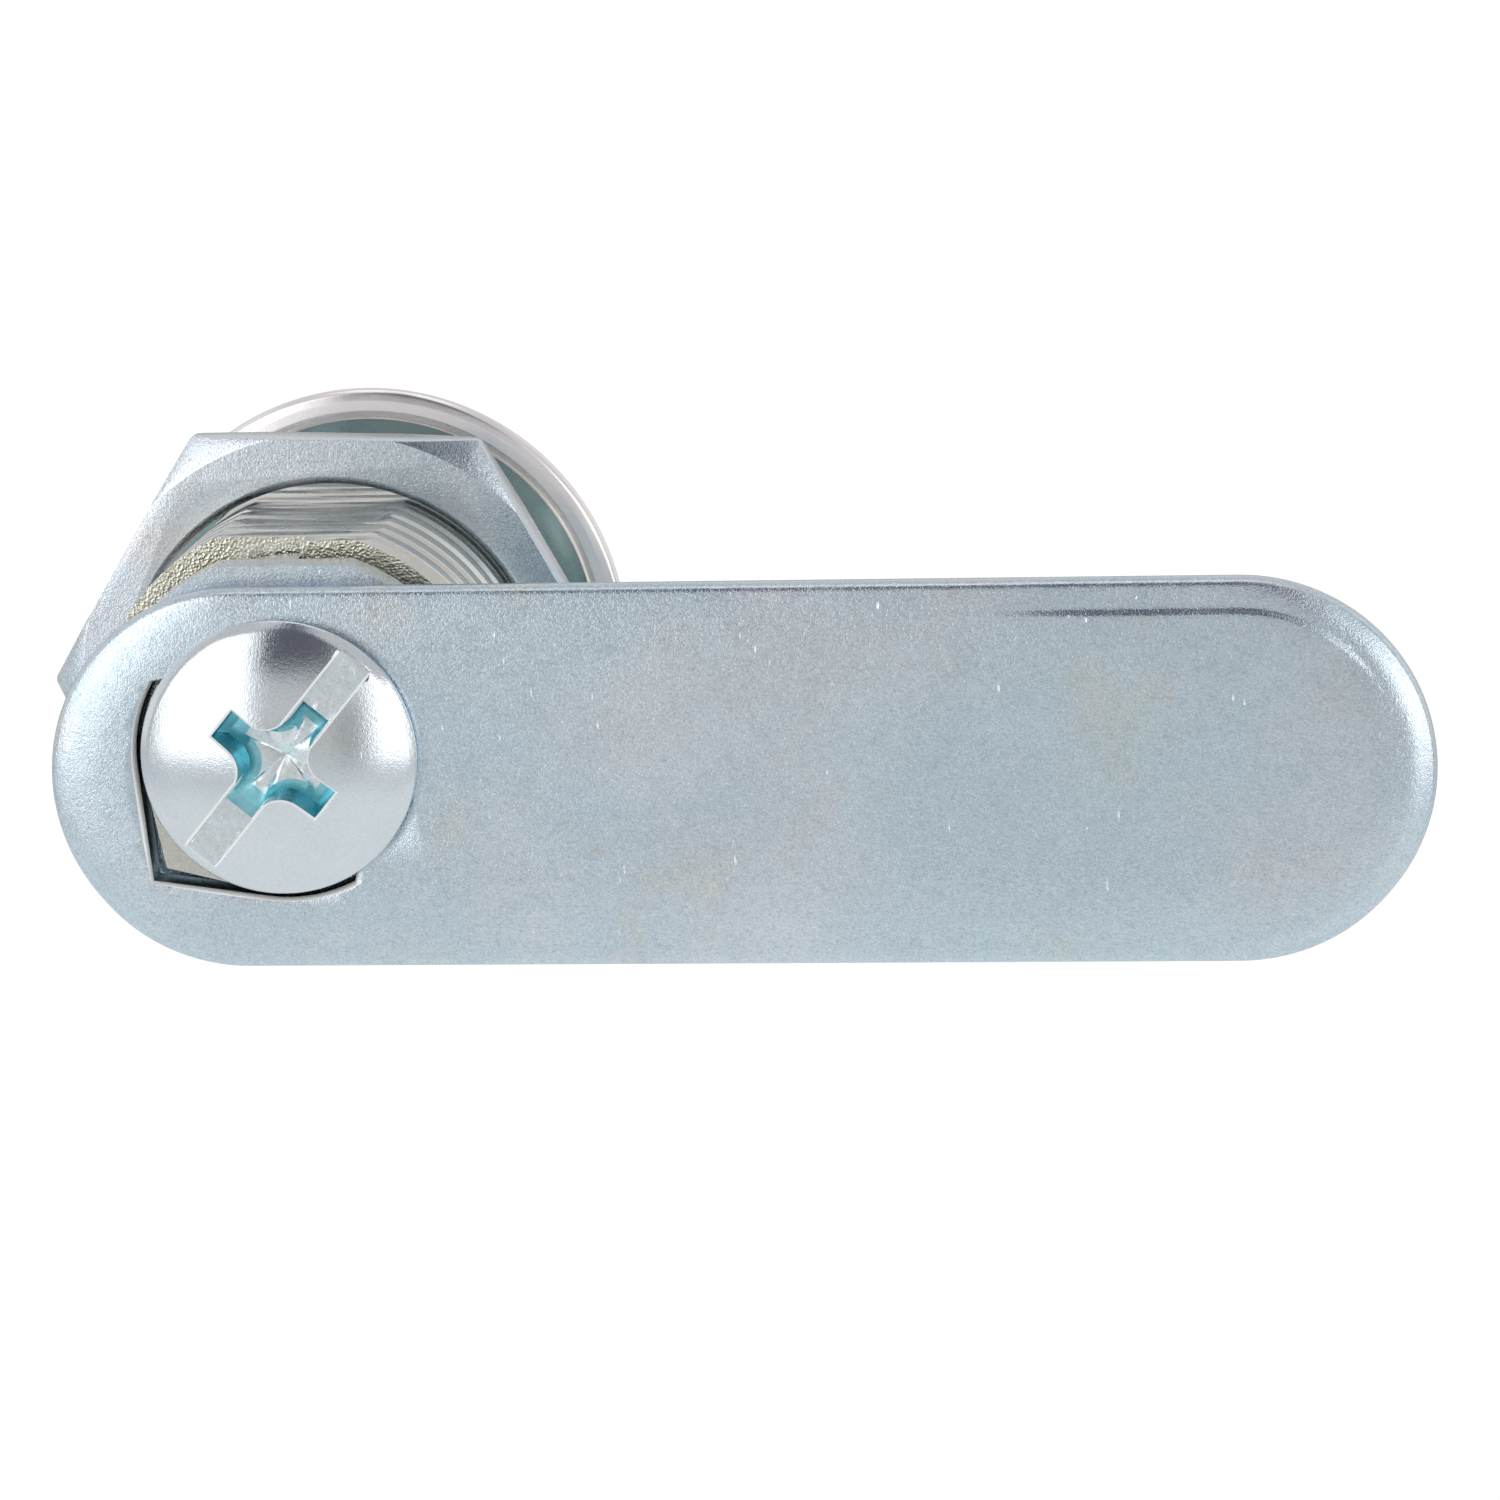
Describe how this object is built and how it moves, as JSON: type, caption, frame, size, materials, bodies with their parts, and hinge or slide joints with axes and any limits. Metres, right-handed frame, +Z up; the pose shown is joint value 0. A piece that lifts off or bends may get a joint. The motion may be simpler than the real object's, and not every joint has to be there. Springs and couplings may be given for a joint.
{
  "type": "cam lock",
  "caption": "Wafer cam lock: a threaded round body with flats clamps in a panel by its thin hexagon nut, and the key turns a flat bar cam a quarter turn behind it.",
  "frame": {"origin": "on the lock's axis, at the closed end of the keyway where the key's tip stops, 17.4 mm behind the panel seat plane", "axes": "+Y along the lock's axis from the key face to the cam, +Z up across the barrel's flats, the cam's bar points to -X"},
  "size_m": [0.0604, 0.0302, 0.0232],
  "materials": {
    "die_cast_zinc": "plated die-cast zinc, satin with a slightly golden tone",
    "plug_zinc": "plain die-cast zinc, satin",
    "bright_cap": "bright nickel plated thin sheet",
    "zinc_plate": "blue bright zinc plated pressed steel with fine grain",
    "screw_zinc": "polished bright zinc plated steel",
    "wafer_brass": "stamped brass, satin",
    "spring_steel": "drawn spring wire"
  },
  "bodies": {
    "housing": {"housing": "die_cast_zinc", "face_cap": "bright_cap"},
    "plug": {"plug": "plug_zinc", "stop_washer": "zinc_plate", "cam": "zinc_plate", "cam_screw": "screw_zinc", "wafer_spring_1": "spring_steel", "wafer_spring_2": "spring_steel", "wafer_spring_3": "spring_steel", "wafer_spring_4": "spring_steel", "wafer_spring_5": "spring_steel", "wafer_spring_6": "spring_steel", "wafer_spring_7": "spring_steel"},
    "wafer_1": {"wafer_1": "wafer_brass"},
    "wafer_2": {"wafer_2": "wafer_brass"},
    "wafer_3": {"wafer_3": "wafer_brass"},
    "wafer_4": {"wafer_4": "wafer_brass"},
    "wafer_5": {"wafer_5": "wafer_brass"},
    "wafer_6": {"wafer_6": "wafer_brass"},
    "wafer_7": {"wafer_7": "wafer_brass"},
    "hex_nut": {"hex_nut": "zinc_plate"}
  },
  "joints": [
    {"name": "plug_turn", "type": "hinge", "parent": "housing", "child": "plug", "pos_m": [0, 0, 0], "axis": [0, 1, 0], "range_deg": [0, 90]},
    {"name": "wafer_1_slide", "type": "slide", "parent": "plug", "child": "wafer_1", "axis": [0, 0, -1], "range_m": [0, 0.0009], "deforming": ["wafer_spring_1"]},
    {"name": "wafer_2_slide", "type": "slide", "parent": "plug", "child": "wafer_2", "axis": [0, 0, -1], "range_m": [0, 0.0009], "deforming": ["wafer_spring_2"]},
    {"name": "wafer_3_slide", "type": "slide", "parent": "plug", "child": "wafer_3", "axis": [0, 0, -1], "range_m": [0, 0.0009], "deforming": ["wafer_spring_3"]},
    {"name": "wafer_4_slide", "type": "slide", "parent": "plug", "child": "wafer_4", "axis": [0, 0, -1], "range_m": [0, 0.0009], "deforming": ["wafer_spring_4"]},
    {"name": "wafer_5_slide", "type": "slide", "parent": "plug", "child": "wafer_5", "axis": [0, 0, -1], "range_m": [0, 0.0009], "deforming": ["wafer_spring_5"]},
    {"name": "wafer_6_slide", "type": "slide", "parent": "plug", "child": "wafer_6", "axis": [0, 0, -1], "range_m": [0, 0.0009], "deforming": ["wafer_spring_6"]},
    {"name": "wafer_7_slide", "type": "slide", "parent": "plug", "child": "wafer_7", "axis": [0, 0, -1], "range_m": [0, 0.0009], "deforming": ["wafer_spring_7"]},
    {"name": "nut_run", "type": "slide", "parent": "housing", "child": "hex_nut", "axis": [0, 1, 0], "range_m": [-0.0086, 0.0084]}
  ],
  "couplings": [
    {"joint": "wafer_2_slide", "follows": "wafer_1_slide", "ratio": 1},
    {"joint": "wafer_3_slide", "follows": "wafer_1_slide", "ratio": 1},
    {"joint": "wafer_4_slide", "follows": "wafer_1_slide", "ratio": 1},
    {"joint": "wafer_5_slide", "follows": "wafer_1_slide", "ratio": 1},
    {"joint": "wafer_6_slide", "follows": "wafer_1_slide", "ratio": 1},
    {"joint": "wafer_7_slide", "follows": "wafer_1_slide", "ratio": 1}
  ]
}
